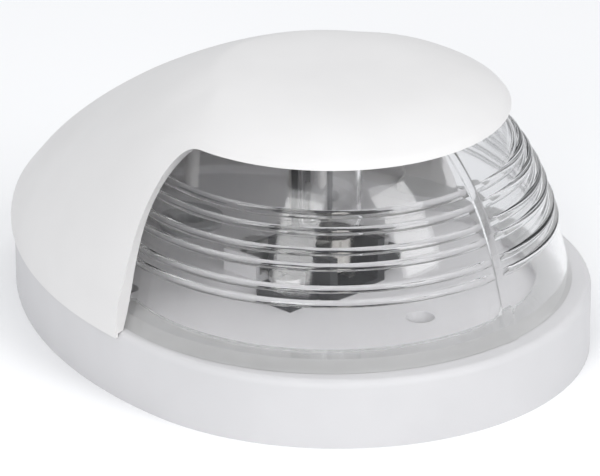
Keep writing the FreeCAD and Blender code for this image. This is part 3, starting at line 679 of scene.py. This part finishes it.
class Material:
    """A node material around one Principled shader, with helpers for its textures."""

    def __init__(self, name):
        self.data = bpy.data.materials.new(name)
        self.data.use_nodes = True
        self.nodes = self.data.node_tree.nodes
        self.links = self.data.node_tree.links
        self.shader = self.nodes["Principled BSDF"]
        self.place = self.nodes.new("ShaderNodeTexCoord").outputs["Object"]

    def noise(self, feature, detail=3.0, stretch=(1, 1, 1)):
        """Noise whose blobs are about feature metres across."""
        mapping = self.nodes.new("ShaderNodeMapping")
        mapping.inputs["Scale"].default_value = stretch
        self.links.new(self.place, mapping.inputs["Vector"])
        texture = self.nodes.new("ShaderNodeTexNoise")
        texture.inputs["Scale"].default_value = 1 / feature
        texture.inputs["Detail"].default_value = detail
        self.links.new(mapping.outputs["Vector"], texture.inputs["Vector"])
        return texture.outputs["Fac"]

    def colour(self, value, low, high):
        """Base colour between low and high, by a noise value."""
        ramp = self.nodes.new("ShaderNodeValToRGB")
        ends = ramp.color_ramp.elements
        ends[0].position = NOISE_LOW
        ends[0].color = (*low, 1)
        ends[1].position = NOISE_HIGH
        ends[1].color = (*high, 1)
        self.links.new(value, ramp.inputs["Fac"])
        self.links.new(ramp.outputs["Color"], self.shader.inputs["Base Color"])

    def roughness(self, value, low, high):
        """Roughness between low and high, by a noise value."""
        span = self.nodes.new("ShaderNodeMapRange")
        span.inputs["From Min"].default_value = NOISE_LOW
        span.inputs["From Max"].default_value = NOISE_HIGH
        span.inputs["To Min"].default_value = low
        span.inputs["To Max"].default_value = high
        self.links.new(value, span.inputs["Value"])
        self.links.new(span.outputs["Result"], self.shader.inputs["Roughness"])

    def bump(self, value, depth, strength=1.0):
        """Bump whose full height is depth metres, times strength."""
        bump = self.nodes.new("ShaderNodeBump")
        bump.inputs["Distance"].default_value = depth
        bump.inputs["Strength"].default_value = strength
        self.links.new(value, bump.inputs["Height"])
        self.links.new(bump.outputs["Normal"], self.shader.inputs["Normal"])

    def let_lamps_through(self):
        """Rays from lamps pass straight through the glass, so that what it shuts in is lit."""
        path = self.nodes.new("ShaderNodeLightPath")
        clear_way = self.nodes.new("ShaderNodeBsdfTransparent")
        clear_way.inputs["Color"].default_value = (0.98, 0.98, 0.98, 1)
        mix = self.nodes.new("ShaderNodeMixShader")
        self.links.new(path.outputs["Is Shadow Ray"], mix.inputs["Fac"])
        self.links.new(self.shader.outputs["BSDF"], mix.inputs[1])
        self.links.new(clear_way.outputs["BSDF"], mix.inputs[2])
        self.links.new(mix.outputs["Shader"], self.nodes["Material Output"].inputs["Surface"])

    def setting(self, name, value):
        self.shader.inputs[name].default_value = value


def moulded(name, low, high, rough):
    """Moulded plastic: faint cloudiness in its colour, a fine spark-eroded grain."""
    material = Material(name)
    material.colour(material.noise(14 * MM, 2.0), low, high)
    material.roughness(material.noise(6 * MM, 4.0), rough - 0.04, rough + 0.05)
    material.bump(material.noise(0.5 * MM, 5.0), 0.008 * MM)
    return material


def rubber(name, low, high, grain, depth):
    """Rubber or foam: matt, mottled, with cells or grain of that size and depth."""
    material = Material(name)
    material.colour(material.noise(1.2 * MM, 6.0), low, high)
    material.roughness(material.noise(2 * MM), 0.75, 0.9)
    material.bump(material.noise(grain, 4.0), depth)
    return material


def metal(name, low, high, rough, stretch=(1, 1, 1)):
    """Metal with uneven tarnish. stretch over 1 on an axis runs its scratches across that axis."""
    material = Material(name)
    material.setting("Metallic", 1.0)
    material.colour(material.noise(2.5 * MM, 4.0), low, high)
    material.roughness(material.noise(1.5 * MM, 4.0), rough - 0.06, rough + 0.08)
    material.bump(material.noise(0.4 * MM, 3.0, stretch), 0.004 * MM)
    return material


def clear(name, low, high, rough):
    """Clear moulded plastic or glass, with a slow ripple from moulding."""
    material = Material(name)
    material.setting("IOR", 1.5)
    material.setting("Transmission Weight", 1.0)
    material.colour(material.noise(20 * MM, 2.0), low, high)
    material.roughness(material.noise(8 * MM), rough, rough + 0.015)
    material.bump(material.noise(9 * MM, 1.0), 0.01 * MM, 0.6)
    material.let_lamps_through()
    return material


def paint(piece, *materials):
    """Gives the piece its materials, in the order of its faces' material numbers."""
    numbers = [face.material_index for face in piece.data.polygons]
    piece.data.materials.clear()
    for material in materials:
        piece.data.materials.append(material.data)
    piece.data.polygons.foreach_set("material_index", numbers)


def repaint(node, material):
    """A CAD node keeps its mesh and gets a better material in its object's slots."""
    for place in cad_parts[node].material_slots:
        place.material = material.data


# --- stage ----------------------------------------------------------------------------------------

STAGE_CENTRE = Vector((AXIS_X, 0, RIM_Z + 10 * MM))
VIEW_AZIMUTH = -46.4                 # degrees from the bow, over the starboard side
VIEW_ELEVATION = 23.7
VIEW_DISTANCE = 760.6 * MM
FOCAL_LENGTH = 293.6                 # for Blender's usual sensor, 36 wide
AIM_HEIGHT = 26.2 * MM               # on the lens axis
AIM_LEFT = 4.63 * MM                 # how far left of there and below it the camera points
AIM_DOWN = 8.79 * MM
FLOOR_HALF = 3.0


def aim(item, target):
    """Turns a lamp or camera towards a point."""
    item.rotation_euler = (target - item.location).to_track_quat("-Z", "Y").to_euler()


def direction(azimuth, elevation):
    """A unit vector towards an azimuth from +X and an elevation, in degrees."""
    turn = math.radians(azimuth)
    lift = math.radians(elevation)
    level = math.cos(lift)
    return Vector((math.cos(turn) * level, math.sin(turn) * level, math.sin(lift)))


def softbox(name, azimuth, elevation, distance, width, height, radiance):
    """A rectangular lamp that faces the stage's centre, as bright to look at whatever its size."""
    data = bpy.data.lights.new(name, "AREA")
    data.shape = "RECTANGLE"
    data.size = width
    data.size_y = height
    data.energy = radiance * math.pi * width * height
    box = bpy.data.objects.new(name, data)
    bpy.context.scene.collection.objects.link(box)
    box.location = STAGE_CENTRE + direction(azimuth, elevation) * distance
    aim(box, STAGE_CENTRE)


def make_camera():
    """The photograph's viewing angle, over the starboard bow."""
    view = direction(VIEW_AZIMUTH, VIEW_ELEVATION)
    right = Vector((-view.y, view.x, 0)).normalized()
    up = view.cross(right)
    data = bpy.data.cameras.new("camera")
    data.lens = FOCAL_LENGTH
    data.clip_start = 10 * MM
    camera = bpy.data.objects.new("camera", data)
    bpy.context.scene.collection.objects.link(camera)
    aimed = Vector((AXIS_X, 0, AIM_HEIGHT)) - right * AIM_LEFT - up * AIM_DOWN
    camera.location = aimed + view * VIEW_DISTANCE
    aim(camera, aimed)
    bpy.context.scene.camera = camera


def make_floor():
    """Plain pale paper under the light."""
    signs = ((-1, -1), (1, -1), (1, 1), (-1, 1))
    corners = [(FLOOR_HALF * x, FLOOR_HALF * y, 0) for x, y in signs]
    mesh = bpy.data.meshes.new("floor")
    mesh.from_pydata(corners, [], [(0, 1, 2, 3)])
    floor = bpy.data.objects.new("floor", mesh)
    bpy.context.scene.collection.objects.link(floor)
    paper = Material("paper")
    paper.colour(paper.noise(0.4), (0.95, 0.95, 0.955), (0.98, 0.98, 0.985))
    paper.roughness(paper.noise(0.1), 0.7, 0.8)
    paint(floor, paper)


def make_world(strength):
    """An even, faintly blue light from all round."""
    world = bpy.data.worlds.new("studio")
    world.use_nodes = True
    background = world.node_tree.nodes["Background"]
    background.inputs["Color"].default_value = (0.95, 0.97, 1.0, 1)
    background.inputs["Strength"].default_value = strength
    bpy.context.scene.world = world


# --- put together ---------------------------------------------------------------------------------

make_camera()
make_floor()
make_world(strength=0.55)
softbox("box_left", -66, 34, distance=0.9, width=0.30, height=0.68, radiance=4.6)
softbox("box_right", 2, 34, distance=0.9, width=0.32, height=0.68, radiance=4.0)
softbox("box_top", 120, 80, distance=1.5, width=1.6, height=1.6, radiance=0.75)
bpy.context.scene.view_settings.view_transform = "Standard"

# each with its two colours, then its roughness, or the size and depth of its grain
hood_white = moulded("hood_white", (0.74, 0.73, 0.725), (0.77, 0.76, 0.755), 0.48)
# painted shade: the base is white plastic like the hood, set darker so that its wall, its floor
# inside the lens and the terminal block that shares it look shaded
base_white_painted_shade = moulded("base_white_painted_shade", (0.615, 0.61, 0.62), (0.645, 0.64, 0.65), 0.5)
lens_clear = clear("lens_clear", (0.966, 0.967, 0.973), (0.976, 0.977, 0.983), 0.04)
# painted light and shade: opaque grey on the clear lens's foot and after-edge faces stands in for
# the seal and hood seen through the glass there
lens_edge_painted_light = moulded("lens_edge_painted_light", (0.44, 0.44, 0.44), (0.52, 0.52, 0.52), 0.5)
bulb_clear = clear("bulb_clear", (0.97, 0.97, 0.97), (0.99, 0.99, 0.99), 0.005)
holder_black = moulded("holder_black", (0.018, 0.018, 0.02), (0.03, 0.03, 0.032), 0.4)
foam = rubber("foam", (0.02, 0.02, 0.022), (0.05, 0.05, 0.052), 0.35 * MM, 0.12 * MM)
seal_white = rubber("seal_white", (0.62, 0.62, 0.62), (0.7, 0.7, 0.7), 0.5 * MM, 0.02 * MM)
grommet_grey = rubber("grommet_grey", (0.32, 0.32, 0.325), (0.4, 0.4, 0.405), 0.6 * MM, 0.02 * MM)
tinned = metal("tinned", (0.52, 0.51, 0.49), (0.68, 0.67, 0.65), 0.3, (8, 1, 1))
steel = metal("steel", (0.5, 0.5, 0.5), (0.66, 0.66, 0.65), 0.3)
nickel = metal("nickel", (0.6, 0.58, 0.54), (0.74, 0.72, 0.68), 0.22)
tungsten = metal("tungsten", (0.16, 0.16, 0.17), (0.3, 0.3, 0.31), 0.4)

hood = make_hood()
posts = make_posts(hood)
for piece in (hood, posts):
    paint(piece, hood_white)
    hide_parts("hood")
    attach(piece, "cover")
lens = make_lens()
paint(lens, lens_clear, lens_edge_painted_light)
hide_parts("lens_port", "lens_starboard")
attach(lens, "cover")
glass = make_bulb_glass()
paint(glass, bulb_clear)
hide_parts("bulb_glass")
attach(glass, "bulb")
coil = make_filament()
paint(coil, tungsten)
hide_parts("bulb_filament")
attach(coil, "bulb")

for node, material in (
    ("base", base_white_painted_shade),
    ("mounting_gasket", foam),
    ("cover_seal", seal_white),
    ("cable_grommet", grommet_grey),
    ("lamp_holder", holder_black),
    ("terminal_block", base_white_painted_shade),
    ("contact_lower", tinned),
    ("contact_upper", tinned),
    ("holder_screws", steel),
    ("terminal_screws", steel),
    ("terminal_washers", steel),
    ("contact_rivets", steel),
    ("bulb_cap_lower", nickel),
    ("bulb_cap_upper", nickel),
    ("bulb_leads", nickel),
):
    repaint(node, material)


def numbers(bounds):
    return [[float(value) for value in corner] for corner in bounds]
